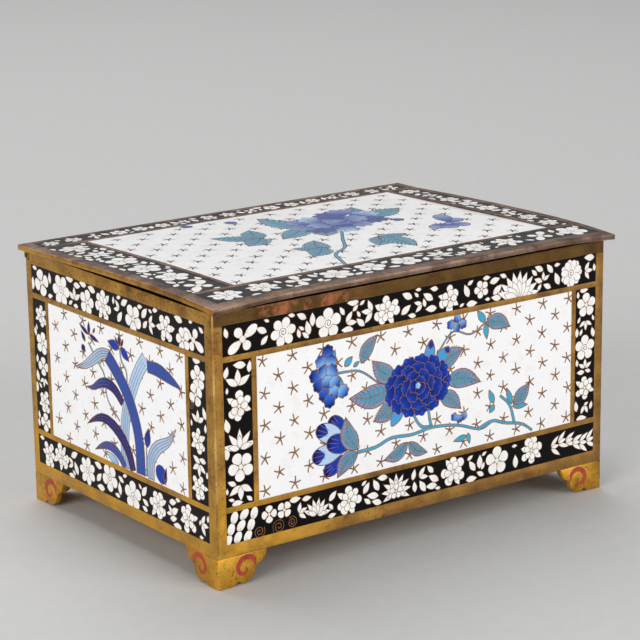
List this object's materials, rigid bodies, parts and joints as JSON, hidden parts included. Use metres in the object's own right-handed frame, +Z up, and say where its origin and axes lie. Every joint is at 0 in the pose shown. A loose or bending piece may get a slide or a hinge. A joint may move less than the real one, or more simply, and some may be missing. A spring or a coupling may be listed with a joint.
{
  "type": "cloisonne enamel box",
  "caption": "Rectangular cloisonne enamel box on bracket feet, with a hinged lid, white flowered panels and black floral borders.",
  "frame": {"origin": "on the table under the centre of the closed box's bounding box", "axes": "+X along the length, +Y from the front to the hinge side, +Z up"},
  "size_m": [0.1532, 0.1112, 0.0861],
  "materials": {
    "gilt_brass": "worn gilt brass, ochre, with brown tarnish and bare copper patches",
    "lid_brass": "dull grey-brown tarnished brass with a brighter worn edge",
    "hinge_brass": "dull tarnished brass",
    "hinge_pin_steel": "dull grey wire",
    "white_enamel": "polished glassy enamel, white, with fine wires",
    "black_enamel": "polished glassy enamel, black, with fine wires"
  },
  "bodies": {
    "box": {"box_carcass": "gilt_brass", "front_lower_border_enamel": "black_enamel", "front_upper_border_enamel": "black_enamel", "front_left_border_enamel": "black_enamel", "front_right_border_enamel": "black_enamel", "front_panel_enamel": "white_enamel", "back_lower_border_enamel": "black_enamel", "back_upper_border_enamel": "black_enamel", "back_left_border_enamel": "black_enamel", "back_right_border_enamel": "black_enamel", "back_panel_enamel": "white_enamel", "left_lower_border_enamel": "black_enamel", "left_upper_border_enamel": "black_enamel", "left_left_border_enamel": "black_enamel", "left_right_border_enamel": "black_enamel", "left_panel_enamel": "white_enamel", "right_lower_border_enamel": "black_enamel", "right_upper_border_enamel": "black_enamel", "right_left_border_enamel": "black_enamel", "right_right_border_enamel": "black_enamel", "right_panel_enamel": "white_enamel", "foot_front_left": "gilt_brass", "foot_front_right": "gilt_brass", "foot_back_left": "gilt_brass", "foot_back_right": "gilt_brass", "hinge_knuckle_1": "hinge_brass", "hinge_knuckle_3": "hinge_brass", "hinge_knuckle_5": "hinge_brass", "hinge_pin": "hinge_pin_steel"},
    "lid": {"lid_plate": "lid_brass", "lid_lower_border_enamel": "black_enamel", "lid_upper_border_enamel": "black_enamel", "lid_left_border_enamel": "black_enamel", "lid_right_border_enamel": "black_enamel", "lid_panel_enamel": "white_enamel", "hinge_knuckle_2": "hinge_brass", "hinge_knuckle_4": "hinge_brass"}
  },
  "joints": [
    {"name": "lid_hinge", "type": "hinge", "parent": "box", "child": "lid", "pos_m": [0, 0.05295, 0.0814], "axis": [-1, 0, 0], "range_deg": [0, 100]}
  ]
}
